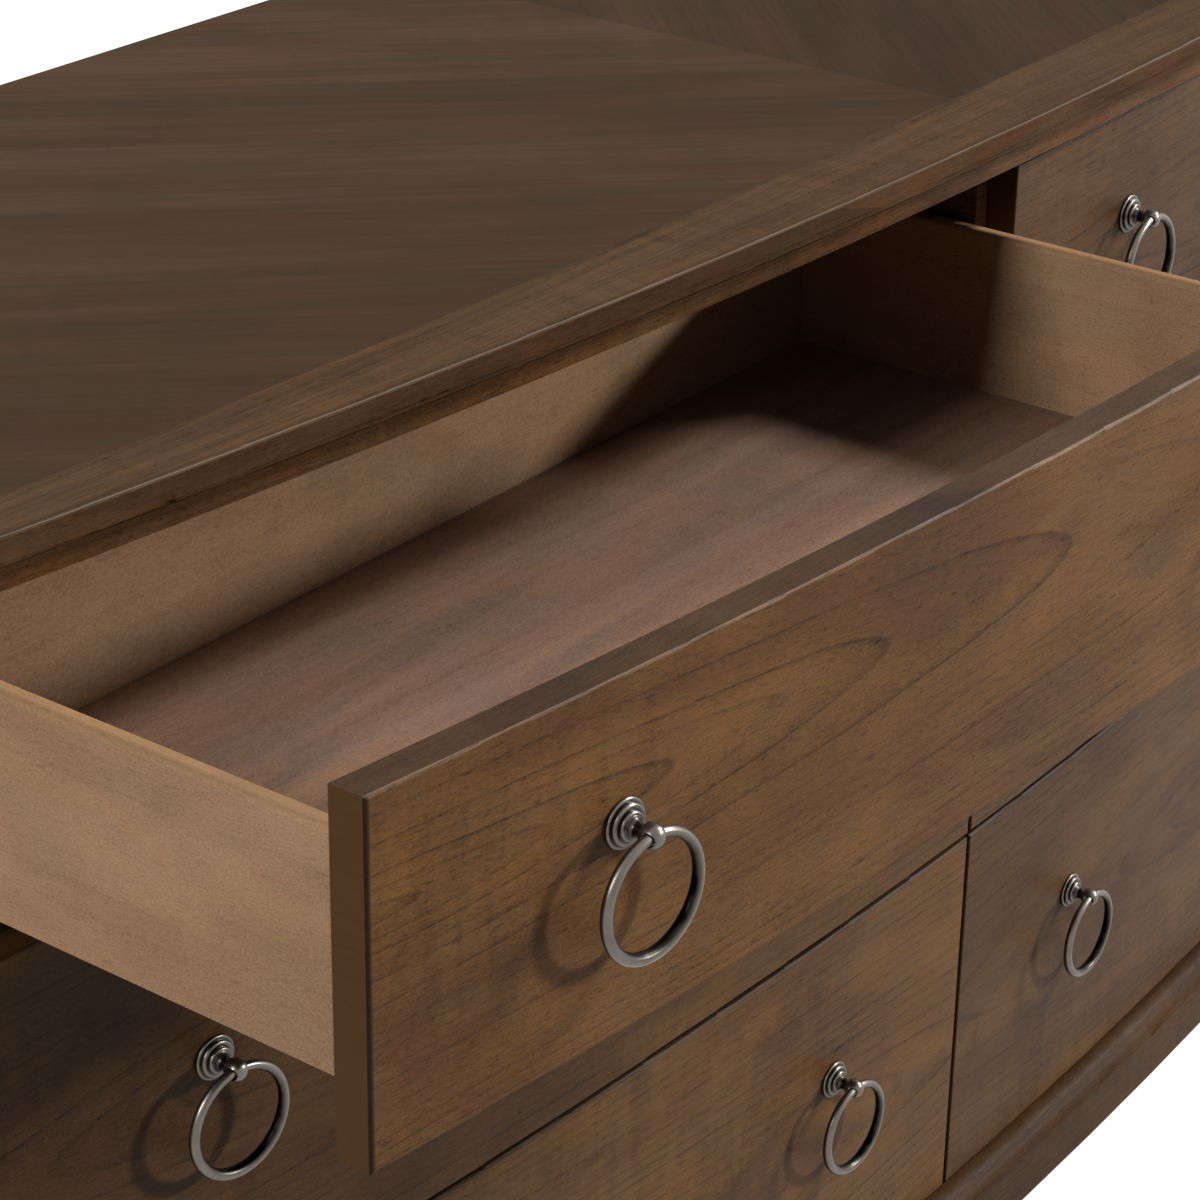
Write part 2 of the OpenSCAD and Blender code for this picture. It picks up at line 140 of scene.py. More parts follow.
# The growth rings of a log, cut along its length: X of the vector runs along the grain, Y across it
def woodGrain(tree, vector, look):
    seed = look["seed"]
    place = addNode(tree, "VectorMath", plus, [vector, (seed, seed * 0.37, seed * 1.7)])

    def streaks(size, detail, scatter=0.0):
        stretch = (1 / size[0], 1 / size[1], 1 / size[1])
        thin = addNode(tree, "VectorMath", times, [place, stretch])
        return addNode(tree, "TexNoise", {}, {"Vector": thin, "Scale": 1.0, "Detail": detail,
                                              "Roughness": 0.6, "Distortion": scatter})

    # Distance from the pith where the knife meets each ring
    alongGrain, acrossGrain, _ = addNode(tree, "SeparateXYZ", {}, [vector]).outputs
    wave = streaks(look["wave"], 2.0)
    ripple = streaks(look["ripple"], 2.0)
    wander = look["wander"]
    shift = addNode(tree, "Math", timesPlus, [wave, wander, -wander / 2 - look["pith"]])
    shift = addNode(tree, "Math", timesPlus, [ripple, wander * look["rippleShare"], shift])
    across = addNode(tree, "Math", plus, [acrossGrain, shift])
    below = addNode(tree, "Math", minus, [alongGrain, look["apex"]])
    below = addNode(tree, "Math", times, [below, look["tilt"]])
    square = addNode(tree, "Math", times, [below, below])
    square = addNode(tree, "Math", timesPlus, [across, across, square])
    distance = addNode(tree, "Math", {"operation": "SQRT"}, [square])
    rings = addNode(tree, "Math", over, [distance, look["ringGap"]])

    # Each ring darkens towards its thin line of late wood, and by chance some do so more than others
    phase = addNode(tree, "Math", {"operation": "FRACT"}, [rings])
    ringName = addNode(tree, "Math", {"operation": "FLOOR"}, [rings])
    ringName = addNode(tree, "Math", plus, [ringName, seed * 10])
    chance = addNode(tree, "TexWhiteNoise", byNumber, {"W": ringName})
    late = addNode(tree, "MapRange", smooth, [phase, *onset["late"]])
    late = addNode(tree, "Math", times, [late, chance])
    lineIn = addNode(tree, "MapRange", smooth, [phase, *onset["lineIn"]])
    lineOut = addNode(tree, "MapRange", smooth, [phase, *onset["lineOut"]])
    line = addNode(tree, "Math", times, [lineIn, lineOut])
    strength = addNode(tree, "Math", timesPlus, [chance, 0.8, 0.2])
    line = addNode(tree, "Math", times, [line, strength])
    lineShown = addNode(tree, "MapRange", smooth, [ripple, *onset["ripple"]])
    line = addNode(tree, "Math", times, [line, lineShown])

    fibre = streaks(look["fibre"], 3.0)
    fibres = addNode(tree, "MapRange", smooth, [fibre, *onset["fibre"]])
    blotches = addNode(tree, "MapRange", smooth, [streaks(look["blotch"], 2.0, 0.4), *onset["blotch"]])
    speckles = streaks(look["speckle"], 2.0)
    figure = addNode(tree, "Math", minus, [streaks(look["figure"], 1.0, 0.5), 0.5])
    figureShown = addNode(tree, "MapRange", smooth, [wave, *onset["figure"]])
    figure = addNode(tree, "Math", times, [figure, figureShown])
    pores = addNode(tree, "MapRange", smooth, [streaks(look["pore"], 2.0), *onset["pore"]])
    flecks = addNode(tree, "MapRange", smooth, [streaks(look["fleck"], 0.0), *onset["fleck"]])

    # Blotches and speckles add light, so half of what they can add is taken off first
    tone = 1.1 - 0.5 * (look["blotchTone"] + look["speckleTone"])
    weights = [
        (blotches, look["blotchTone"]), (speckles, look["speckleTone"]), (figure, look["figureTone"]),
        (late, -look["ringTone"]), (line, -look["lineTone"]), (fibres, -look["fibreTone"]),
        (pores, -look["poreTone"]), (flecks, -look["fleckTone"]),
    ]
    for value, weight in weights:
        tone = addNode(tree, "Math", timesPlus, [value, weight, tone])
    tone = addNode(tree, "Math", times, [tone, look["depth"]])

    warm = addNode(tree, "MapRange", smooth, [streaks(look["warmPatch"], 2.0), *onset["warm"]])
    grey = addNode(tree, "MapRange", smooth, [streaks(look["greyPatch"], 2.0, 0.5), *onset["grey"]])
    color = addNode(tree, "MixRGB", {}, [warm, hexColor(look["base"]), hexColor(look["warm"])])
    color = addNode(tree, "MixRGB", {}, [grey, color, hexColor(look["grey"])])
    return addNode(tree, "VectorMath", scaled, {0: color, "Scale": tone}), fibre


def lacquer(tree, color, height, look):
    # Satin lacquer: a low sheen that closes the pores, so the grain is barely felt
    bump = addNode(tree, "Bump", {}, {"Strength": look["bump"], "Distance": look["bumpHeight"],
                                      "Height": height})
    glossy, dull = look["roughness"] - 0.04, look["roughness"] + 0.05
    gloss = addNode(tree, "MapRange", {}, [height, 0.3, 0.7, glossy, dull])
    shader = addNode(tree, "BsdfPrincipled", {}, {"Base Color": color, "Roughness": gloss, "Normal": bump,
                                                  "Specular IOR Level": look["sheen"]})
    addNode(tree, "OutputMaterial", {}, [shader])


# Rims: faces that look up are made lighter and mixed towards a rim colour
rimLift = {"light": 1.12, "share": 0.5, "facingUp": (0.2, 0.6)}


# axes names the object's own axes that run along the grain, across it and through the board
def woodMaterial(name, axes, look, rim=None):
    material, tree = newMaterial(name)
    place = addNode(tree, "TexCoord", {}, []).outputs["Object"]
    parts = addNode(tree, "SeparateXYZ", {}, [place])
    turned = [parts.outputs["xyz".index(axis)] for axis in axes]
    color, height = woodGrain(tree, addNode(tree, "CombineXYZ", {}, turned), look)
    if rim:
        normal = addNode(tree, "NewGeometry", {}, []).outputs["Normal"]
        facing = addNode(tree, "SeparateXYZ", {}, [normal]).outputs
        onRim = addNode(tree, "MapRange", smooth, [facing[2], *rimLift["facingUp"]])
        lifted = addNode(tree, "VectorMath", scaled, {0: color, "Scale": rimLift["light"]})
        lifted = addNode(tree, "MixRGB", {}, [rimLift["share"], lifted, hexColor(rim)])
        color = addNode(tree, "MixRGB", {}, [onRim, color, lifted])
    lacquer(tree, color, height, look)
    return material


# Drawer fronts: flat-cut cherry veneer under a brown stain, and the edges drank more stain. Each front is
# darker along its outer upright arris and at its foot. The open front's crest has a painted highlight,
# and the crests of the fronts that lie in a gap have painted shade.
frontVeneer = {
    # A leaf's depth is partly its veneer's own tone and partly painted shade: each front is set lighter or
    # darker to match how light falls on it, the open one lightest
    "leaves": {
        "top_left": {"apex": mm(-880), "pith": mm(845), "seed": 1.3, "tilt": 0.085, "depth": 0.84},
        "top_right": {"apex": mm(900), "pith": mm(800), "seed": 2.9, "tilt": 0.06, "depth": 0.5},
        "middle_left": {"apex": mm(-60), "pith": mm(590), "seed": 4.1, "tilt": 0.08, "depth": 0.5},
        "middle_right": {"apex": mm(-60), "pith": mm(560), "seed": 5.7, "tilt": 0.09, "depth": 0.52},
        "bottom_left": {"apex": mm(-900), "pith": mm(280), "seed": 7.2, "tilt": 0.07, "depth": 0.68},
        "bottom_right": {"apex": mm(880), "pith": mm(300), "seed": 8.8, "tilt": 0.08, "depth": 0.48},
    },
    "edgeTone": 0.42, "endColor": "#493015", "endShare": 0.8, "glazeColor": "#20150d",
    # How far in from its edge a line starts, how far in it is full, and its share of the colour
    "upright": (mm(3.2), mm(1.4), 0.9), "foot": (mm(2.4), mm(0.8), 0.6),
    "paintedCrestHighlight": (mm(0.7), mm(0.3), 0.2, "#857c70"), "paintedCrestShade": (mm(3.2), mm(0.3), 0.7, "#20150d"),
}


def frontMaterial(drawer):
    look = woodLook(**frontVeneer["leaves"][drawer])
    material, tree = newMaterial("stained_cherry_veneer_" + drawer)
    place = addNode(tree, "TexCoord", {}, []).outputs["Object"]
    x, y, z = addNode(tree, "SeparateXYZ", {}, [place]).outputs
    color, height = woodGrain(tree, addNode(tree, "CombineXYZ", {}, [x, z, y]), look)

    # The face looks towards -Y, the ends sideways, and an arris is rounded between them
    normal = addNode(tree, "NewGeometry", {}, []).outputs["Normal"]
    facing = addNode(tree, "SeparateXYZ", {}, [normal]).outputs
    onFace = addNode(tree, "MapRange", smooth, [facing[1], -0.3, -0.8])
    edgeColor = addNode(tree, "VectorMath", scaled, {0: color, "Scale": frontVeneer["edgeTone"]})
    color = addNode(tree, "MixRGB", {}, [onFace, edgeColor, color])
    sideways = addNode(tree, "Math", absolute, [facing[0]])
    onEnd = addNode(tree, "MapRange", smooth, [sideways, 0.6, 0.9, 0.0, frontVeneer["endShare"]])
    color = addNode(tree, "MixRGB", {}, [onEnd, color, hexColor(frontVeneer["endColor"])])
    onArris = addNode(tree, "MapRange", smooth, [facing[1], -0.04, -0.2])

    # Darker towards the outer upright arris and along the foot of the front
    low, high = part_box(drawer + "_drawer_front")
    outer = max(abs(low.x), abs(high.x))
    start, full, share = frontVeneer["upright"]
    away = addNode(tree, "Math", absolute, [x])
    upright = addNode(tree, "MapRange", smooth, [away, outer - start, outer - full, 0.0, share])
    start, full, share = frontVeneer["foot"]
    foot = addNode(tree, "MapRange", smooth, [z, low.z + start, low.z + full, 0.0, share])
    glaze = addNode(tree, "Math", larger, [upright, foot])
    glaze = addNode(tree, "Math", times, [glaze, onArris])
    color = addNode(tree, "MixRGB", {}, [glaze, color, hexColor(frontVeneer["glazeColor"])])

    # The open drawer's crest gets a painted highlight; those that lie in a gap get painted shade along the
    # crest
    line = frontVeneer["paintedCrestHighlight" if drawer == "top_left" else "paintedCrestShade"]
    start, full, share, crestColor = line
    crest = addNode(tree, "MapRange", smooth, [z, high.z - start, high.z - full, 0.0, share])
    crest = addNode(tree, "Math", times, [crest, onArris])
    color = addNode(tree, "MixRGB", {}, [crest, color, hexColor(crestColor)])
    lacquer(tree, color, height, look)
    return material


# Top: two fields of cherry veneer laid at 45 degrees and book-matched over the middle, a
# straight-grained front border, a painted highlight along the arris, and a redder edge band with scarfed
# splices.
# A line that follows the bow lies at Y + bow * x * x. A tone is a pair of shares of light.
topVeneer = {
    "leaf": mm(110.5), "firstJoint": mm(-205), "leafTone": (0.86, 1.1), "paintedHalfShade": (1.06, 0.8),
    "joint": mm(0.5), "jointShare": 0.3, "seamShare": 0.4, "borderY": mm(-71.1), "borderBow": 0.036,
    "frontY": mm(-128.6), "frontBow": 0.0727, "glazeColor": "#2a1d15", "glazeShare": 0.4,
    "faceZ": mm(928.2), "splice": mm(260), "spliceSlope": 4.0, "spliceTone": (0.8, 1.3),
    "arrisZ": mm(929.6), "arrisHighlightShare": 0.5, "arrisHighlightColor": "#7c756b",
    "field": woodLook(base="#3e2e1f", warm="#402d1f", grey="#3b2d1f", seed=11.0, tilt=0.02, apex=-1.4,
                      lineTone=0.08, ringTone=0.05, blotch=(mm(300), mm(40)), blotchTone=0.3,
                      fibre=(mm(160), mm(4)), fibreTone=0.05, poreTone=0.08, speckleTone=0.4,
                      fleckTone=0.1, figureTone=0.3, roughness=0.6, sheen=0.02),
    "border": woodLook(base="#4e3a27", warm="#503a26", grey="#4b3928", seed=13.0, tilt=0.01, apex=-3.0,
                       ringGap=mm(3.4), lineTone=0.3, wander=mm(8), blotch=(mm(240), mm(14)),
                       fibre=(mm(60), mm(1.0)), speckleTone=0.35, roughness=0.43),
    "edge": woodLook(base="#493422", warm="#4e3421", grey="#443322", seed=17.0, tilt=0.02,
                     ringGap=mm(5), lineTone=0.25, blotch=(mm(120), mm(22)), speckleTone=0.3),
}


def topMaterial():
    material, tree = newMaterial("book_matched_cherry_veneer")
    place = addNode(tree, "TexCoord", {}, []).outputs["Object"]
    x, y, z = addNode(tree, "SeparateXYZ", {}, [place]).outputs
    away = addNode(tree, "Math", absolute, [x])
    glazeColor = hexColor(topVeneer["glazeColor"])

    # The field: a leaf's grain runs diagonally away from the middle, and no two start alike
    along = addNode(tree, "Math", plus, [away, y])
    along = addNode(tree, "Math", times, [along, math.sqrt(0.5)])
    across = addNode(tree, "Math", minus, [y, away])
    across = addNode(tree, "Math", times, [across, math.sqrt(0.5)])
    leaves = addNode(tree, "Math", minus, [across, topVeneer["firstJoint"]])
    leaves = addNode(tree, "Math", over, [leaves, topVeneer["leaf"]])
    leaf = addNode(tree, "Math", {"operation": "FLOOR"}, [leaves])
    shift = addNode(tree, "TexWhiteNoise", byNumber, {"W": leaf})
    leafAlong = addNode(tree, "Math", plus, [along, shift])
    field = addNode(tree, "CombineXYZ", {}, [leafAlong, across, z])
    color, height = woodGrain(tree, field, topVeneer["field"])
    leafTone = addNode(tree, "MapRange", {}, [shift, 0.0, 1.0, *topVeneer["leafTone"]])
    color = addNode(tree, "VectorMath", scaled, {0: color, "Scale": leafTone})
    # Painted shade: the +X half of the top is darker and the -X half lighter, as the light falls
    paintedHalfShade = addNode(tree, "MapRange", {}, [x, mm(-0.3), mm(0.3), *topVeneer["paintedHalfShade"]])
    color = addNode(tree, "VectorMath", scaled, {0: color, "Scale": paintedHalfShade})

    # Glue joints between the leaves and over the middle
    inLeaf = addNode(tree, "Math", {"operation": "FRACT"}, [leaves])
    inLeaf = addNode(tree, "Math", minus, [inLeaf, 0.5])
    inLeaf = addNode(tree, "Math", absolute, [inLeaf])
    leafJoint = addNode(tree, "Math", minus, [0.5, inLeaf])
    leafJoint = addNode(tree, "Math", times, [leafJoint, topVeneer["leaf"]])
    nearJoint = addNode(tree, "Math", smaller, [leafJoint, away])
    joint = addNode(tree, "MapRange", {}, [nearJoint, 0.0, topVeneer["joint"], topVeneer["jointShare"], 0.0])
    color = addNode(tree, "MixRGB", {}, [joint, color, glazeColor])

    # The front border and the seam behind it
    square = addNode(tree, "Math", times, [away, away])
    borderLine = addNode(tree, "Math", timesPlus, [square, topVeneer["borderBow"], topVeneer["borderY"]])
    inFront = addNode(tree, "Math", minus, [borderLine, y])
    border = addNode(tree, "CombineXYZ", {}, [x, inFront, z])
    borderColor = woodGrain(tree, border, topVeneer["border"])[0]
    onBorder = addNode(tree, "MapRange", {}, [inFront, mm(-0.2), mm(0.2)])
    color = addNode(tree, "MixRGB", {}, [onBorder, color, borderColor])
    fromSeam = addNode(tree, "Math", absolute, [inFront])
    seam = addNode(tree, "MapRange", {}, [fromSeam, 0.0, topVeneer["joint"], topVeneer["seamShare"], 0.0])
    color = addNode(tree, "MixRGB", {}, [seam, color, glazeColor])

    # A darker line of glaze stands just behind the painted arris highlight
    frontLine = addNode(tree, "Math", timesPlus, [square, topVeneer["frontBow"], topVeneer["frontY"]])
    behind = addNode(tree, "Math", minus, [y, frontLine])
    glazeIn = addNode(tree, "MapRange", smooth, [behind, mm(1.2), mm(1.8)])
    glazeOut = addNode(tree, "MapRange", smooth, [behind, mm(4.5), mm(2.6), 0.0, topVeneer["glazeShare"]])
    glaze = addNode(tree, "Math", times, [glazeIn, glazeOut])
    color = addNode(tree, "MixRGB", {}, [glaze, color, glazeColor])

    # The edge band, spliced on a slope
    edge = addNode(tree, "CombineXYZ", {}, [x, z, y])
    edgeColor = woodGrain(tree, edge, topVeneer["edge"])[0]
    scarf = addNode(tree, "Math", plus, [x, y])
    scarf = addNode(tree, "Math", timesPlus, [z, topVeneer["spliceSlope"], scarf])
    scarf = addNode(tree, "Math", over, [scarf, topVeneer["splice"]])
    scarf = addNode(tree, "Math", {"operation": "FLOOR"}, [scarf])
    splice = addNode(tree, "TexWhiteNoise", byNumber, {"W": scarf})
    spliceTone = addNode(tree, "MapRange", {}, [splice, 0.0, 1.0, *topVeneer["spliceTone"]])
    edgeColor = addNode(tree, "VectorMath", scaled, {0: edgeColor, "Scale": spliceTone})
    onEdge = addNode(tree, "MapRange", {}, [z, topVeneer["faceZ"] + mm(0.6), topVeneer["faceZ"]])
    color = addNode(tree, "MixRGB", {}, [onEdge, color, edgeColor])

    # A painted highlight along the rounded arris of the top
    arrisZ = topVeneer["arrisZ"]
    arrisIn = addNode(tree, "MapRange", smooth, [z, arrisZ - mm(0.6), arrisZ - mm(0.3)])
    arrisOut = addNode(tree, "MapRange", smooth,
                       [z, arrisZ + mm(0.1), arrisZ - mm(0.1), 0.0, topVeneer["arrisHighlightShare"]])
    arrisHighlight = addNode(tree, "Math", times, [arrisIn, arrisOut])
    color = addNode(tree, "MixRGB", {}, [arrisHighlight, color, hexColor(topVeneer["arrisHighlightColor"])])
    lacquer(tree, color, height, topVeneer["field"])
    return material


print("wood materials")
solidCherry = woodLook(base="#553c26", warm="#563c26", grey="#533c27", lineTone=0.3, depth=0.8)
mouldingLook = dict(solidCherry, base="#624429", warm="#634328", grey="#5d432b", seed=21.0, tilt=0.02,
                    ringGap=mm(5), roughness=0.45, depth=0.42, sheen=0.03)
subTopLook = dict(mouldingLook, base="#513822", seed=19.0, depth=0.86)
plainInner = woodLook(base="#5e4531", warm="#5f4430", grey="#5b4431", roughness=0.6, lineTone=0.25,
                      figureTone=0.0, sheen=0.05)
birch = woodLook(base="#96785d", warm="#98775a", grey="#92765b", ringGap=mm(14), lineTone=0.05,
                 ringTone=0.04, fibre=(mm(7), mm(1.0)), fibreTone=0.16, pore=(mm(3), mm(0.9)),
                 poreTone=0.12, speckle=(mm(1.5), mm(1.0)), speckleTone=1.0, fleckTone=0.12,
                 blotch=(mm(110), mm(60)), blotchTone=0.26, figureTone=0.1, roughness=0.55, seed=31.0)
birchPly = dict(birch, base="#8b6d5a", warm="#8d6d59", grey="#856b5c", blotch=(mm(300), mm(26)),
                seed=35.0, depth=0.9)
wood = {
    "top": topMaterial(),
    "subTop": woodMaterial("stained_cherry_sub_top", "xzy", subTopLook),
    "side": woodMaterial("stained_cherry_side", "zyx", dict(solidCherry, seed=20.0)),
    "mouldFront": woodMaterial("stained_cherry_moulding", "xzy", mouldingLook),
    "mouldSide": woodMaterial("stained_cherry_moulding_side", "yzx", dict(mouldingLook, seed=23.0)),
    "foot": woodMaterial("stained_cherry_turned", "zxy", dict(mouldingLook, seed=24.0)),
    "innerX": woodMaterial("stained_poplar_x", "xyz", dict(plainInner, seed=25.0)),
    "innerY": woodMaterial("stained_poplar_y", "yzx", dict(plainInner, seed=26.0)),
    "back": woodMaterial("stained_plywood_back", "xzy", dict(plainInner, seed=27.0, ringGap=mm(12))),
    "boxSide": woodMaterial("stained_birch_y", "yzx", dict(birch, depth=0.95), rim="#8f6c49"),
    "boxBack": woodMaterial("stained_birch_x", "xzy", dict(birch, seed=33.0, depth=0.82), rim="#7a5b3d"),
    "bottom": woodMaterial("stained_birch_plywood", "xyz", birchPly),
}
for drawer in drawers:
    wood[drawer] = frontMaterial(drawer)


# Metals and plastic

pewterFinish = {
    "bare": "#6c665f", "patinaAndShade": "#0c0a08", "cloud": mm(9), "tarnish": 0.2,
    "roughness": (0.28, 0.38), "grit": mm(0.5), "gritHeight": mm(0.2), "bump": 0.05,
}


def pewterMaterial():
    # Satin cast metal, aged: a black patina is left in the recesses and rubbed off the rest. The bores are
    # painted dark as shade, and the rings' inner sides carry patina and a painted dark reflection.
    material, tree = newMaterial("aged_pewter")
    place = addNode(tree, "TexCoord", {}, []).outputs["Object"]
    cloud = addNode(tree, "TexNoise", {},
                    {"Vector": place, "Scale": 1 / pewterFinish["cloud"], "Detail": 3.0})
    grit = addNode(tree, "TexNoise", {},
                   {"Vector": place, "Scale": 1 / pewterFinish["grit"], "Detail": 2.0})
    patinaAndShade = addNode(tree, "Attribute", {"attribute_name": "patinaAndShade"}, []).outputs["Fac"]
    tarnish = addNode(tree, "MapRange", {}, [cloud, 0.4, 0.75, 0.0, pewterFinish["tarnish"]])
    dark = addNode(tree, "Math", {"operation": "ADD", "use_clamp": True}, [patinaAndShade, tarnish])
    color = addNode(tree, "MixRGB", {},
                    [dark, hexColor(pewterFinish["bare"]), hexColor(pewterFinish["patinaAndShade"])])
    rough = addNode(tree, "MapRange", {}, [cloud, 0.3, 0.7, *pewterFinish["roughness"]])
    bump = addNode(tree, "Bump", {}, {"Strength": pewterFinish["bump"],
                                      "Distance": pewterFinish["gritHeight"], "Height": grit})
    shader = addNode(tree, "BsdfPrincipled", {}, {"Base Color": color, "Roughness": rough,
                                                  "Normal": bump, "Metallic": 1.0})
    addNode(tree, "OutputMaterial", {}, [shader])
    return material


zincFinish = {
    "dark": "#8f9499", "light": "#b4b8bb", "streakLength": mm(40), "streakWidth": mm(1.5),
    "roughness": (0.28, 0.42),
}


def zincMaterial():
    # Zinc-plated sheet steel: cool grey with faint streaks, rolled along Y
    material, tree = newMaterial("zinc_plated_steel")
    place = addNode(tree, "TexCoord", {}, []).outputs["Object"]
    thin, long = 1 / zincFinish["streakWidth"], 1 / zincFinish["streakLength"]
    rolled = addNode(tree, "VectorMath", times, [place, (thin, long, thin)])
    streak = addNode(tree, "TexNoise", {}, {"Vector": rolled, "Scale": 1.0, "Detail": 3.0})
    color = addNode(tree, "MixRGB", {},
                    [streak, hexColor(zincFinish["dark"]), hexColor(zincFinish["light"])])
    rough = addNode(tree, "MapRange", {}, [streak, 0.0, 1.0, *zincFinish["roughness"]])
    shader = addNode(tree, "BsdfPrincipled", {},
                     {"Base Color": color, "Roughness": rough, "Metallic": 1.0})
    addNode(tree, "OutputMaterial", {}, [shader])
    return material


glideFinish = {
    "dark": "#1b1a19", "light": "#2c2a28", "grain": mm(0.8), "grainHeight": mm(0.1),
    "bump": 0.2, "roughness": 0.6,
}


def glideMaterial():
    # Moulded polyethylene: dull near-black with a fine grain
    material, tree = newMaterial("moulded_polyethylene")
    place = addNode(tree, "TexCoord", {}, []).outputs["Object"]
    grain = addNode(tree, "TexNoise", {},
                    {"Vector": place, "Scale": 1 / glideFinish["grain"], "Detail": 2.0})
    color = addNode(tree, "MixRGB", {},
                    [grain, hexColor(glideFinish["dark"]), hexColor(glideFinish["light"])])
    bump = addNode(tree, "Bump", {}, {"Strength": glideFinish["bump"],
                                      "Distance": glideFinish["grainHeight"], "Height": grain})
    shader = addNode(tree, "BsdfPrincipled", {}, {"Base Color": color, "Normal": bump,
                                                  "Roughness": glideFinish["roughness"]})
    addNode(tree, "OutputMaterial", {}, [shader])
    return material


pewter = pewterMaterial()
zinc = zincMaterial()
glide = glideMaterial()
print("metal and plastic materials")


# CAD pieces that keep their shape. A copy is merged and smoothed, so that bows and arrises
# shade as curves; flat faces keep their own normals by weight.

tiny = mm(0.01)  # closer than this is the same place
creaseAngle = math.radians(40)


# choose picks a face's material, and exact gives the way that a curved surface faces at a point
def dress(node, body, materials, choose=None, exact=None):
    bm = bmesh.new()
    bm.from_mesh(nodes[node].data)
    bmesh.ops.remove_doubles(bm, verts=bm.verts, dist=tiny)
    for face in bm.faces:
        face.material_index = choose(face) if choose else 0
    mesh = bpy.data.meshes.new(node + "_wood")
    bm.to_mesh(mesh)
    bm.free()
    if "custom_normal" in mesh.attributes:
        mesh.attributes.remove(mesh.attributes["custom_normal"])
    for material in materials:
        mesh.materials.append(material)
    mesh.polygons.foreach_set("use_smooth", [True] * len(mesh.polygons))
    mesh.set_sharp_from_angle(angle=creaseAngle)
    if exact:
        normals = []
        for face in mesh.polygons:
            follows = exact(face.center).angle(face.normal) < creaseAngle
            for index in face.vertices:
                normals.append(exact(mesh.vertices[index].co) if follows else face.normal.copy())
        mesh.normals_split_custom_set(normals)
    piece = bpy.data.objects.new(node + "_skin", mesh)
    bpy.context.scene.collection.objects.link(piece)
    if not exact:
        weighted = piece.modifiers.new("weighted", "WEIGHTED_NORMAL")
        weighted.keep_sharp = True
    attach(piece, body)
    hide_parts(node)
    return piece


up = Vector((0, 0, 1))
moulding = {"radius": mm(6896), "round": mm(18), "box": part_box("base_moulding_front")}


# The way the front moulding faces at a point: outwards along the bow, and over its round to the top
def mouldingNormal(point):
    low, high = moulding["box"]
    out = Vector((point.x, point.y - low.y - moulding["radius"], 0))
    beyond = max(out.length - moulding["radius"] + moulding["round"], 0)
    rise = point.z - high.z + moulding["round"]
    out.normalize()
    return (out * beyond + up * rise).normalized() if rise > tiny else out


dress("top_panel", "case", [wood["top"]])
dress("sub_top", "case", [wood["subTop"]])
for side in ("left", "right"):
    dress("side_" + side, "case", [wood["side"]])
    dress("base_moulding_" + side, "case", [wood["mouldSide"]])
    for end in ("front", "back"):
        dress("foot_" + end + "_" + side, "case", [wood["foot"]])
dress("base_moulding_front", "case", [wood["mouldFront"]], exact=mouldingNormal)
dress("center_partition", "case", [wood["innerY"]])
dress("bottom_panel", "case", [wood["innerX"]])
dress("drawer_rails", "case", [wood["innerX"]])
dress("base_frame", "case", [wood["innerX"]])
dress("back_panel", "case", [wood["back"]])
dress("slide_tracks", "case", [zinc])
dress("floor_glides", "case", [glide])

boxWall = mm(11.3)  # faces further than this from both ends of a box belong to its back
for drawer in drawers:
    body = drawer + "_drawer"
    low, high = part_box(drawer + "_drawer_box")

    def boxFace(face, low=low, high=high):
        x = face.calc_center_median().x
        return 0 if x < low.x + boxWall or x > high.x - boxWall else 1

    dress(body + "_front", body, [wood[drawer]])
    dress(body + "_box", body, [wood["boxSide"], wood["boxBack"]], boxFace)
    dress(body + "_bottom", body, [wood["bottom"]])
    dress(body + "_runners", body, [zinc])
print("case and drawers dressed")


# Ring pulls

pull = {
    "reach": mm(18), "bore": mm(3.5), "boreSides": 48, "headRadius": mm(5.9), "postSteps": 72,
    "boreMouth": mm(5.2), "grooveTone": 0.9,
    "ringRadius": mm(29.8), "ringDrop": mm(29.06), "wireTop": mm(2.6), "wireBottom": mm(3.3),
    "wireSides": 28, "ringSteps": 128,
    "frontThick": mm(19.1), "screwSteps": 40, "screwHeight": mm(2.3), "slot": (mm(5.4), mm(1.1), mm(2.4)),
    "merge": mm(0.005), "crease": math.radians(50),
}


def arc(centre, radius, start, end, count):
    turns = [math.radians(start + (end - start) * i / (count - 1)) for i in range(count)]
    return [(centre[0] + radius * math.cos(t), centre[1] + radius * math.sin(t)) for t in turns]


# Half sections in millimetres: (distance from the axis, height above the drawer face)
rosette = (
    [(0.0, 0.1), (11.5, 0.1)] + arc((11.5, 1.0), 0.9, -90, 100, 8)
    + [(10.5, 1.8)] + arc((9.0, 2.9), 1.35, -40, 120, 9)
    + [(7.5, 3.9)] + arc((6.2, 4.9), 1.2, -40, 120, 9)
)
waist = [(4.8, 6.5), (4.0, 7.5), (3.6, 9.0), (3.8, 10.6), (4.5, 11.9), (5.3, 12.9)]
head = [(5.8, 14.0), (5.9, 15.2), (5.9, 17.2), (5.75, 18.5), (5.3, 19.7), (4.6, 20.7),
        (3.6, 21.5), (2.4, 22.0), (1.2, 22.3), (0.0, 22.4)]
screwHead = [(0.0, 0.0), (4.5, 0.0), (4.5, -0.6)] + arc((3.1, -0.8), 1.4, 0, -80, 6) + [(0.0, -2.3)]

# Where the patina stays on a post, and how far it reaches from there
grooves = [(10.4, 1.9, 1.2), (7.4, 4.0, 1.2), (4.9, 6.4, 1.6), (3.6, 9.2, 3.8)]


def lathe(outline, steps):
    bm = bmesh.new()
    points = [bm.verts.new((mm(r), 0.0, mm(h))) for r, h in outline]
    for a, b in zip(points, points[1:]):
        bm.edges.new((a, b))
    bmesh.ops.spin(bm, geom=bm.verts[:] + bm.edges[:], cent=(0, 0, 0), axis=(0, 0, 1),
                   angle=math.tau, steps=steps, use_merge=True)
    bmesh.ops.remove_doubles(bm, verts=bm.verts, dist=pull["merge"])
    bmesh.ops.recalc_face_normals(bm, faces=bm.faces)
    return bm


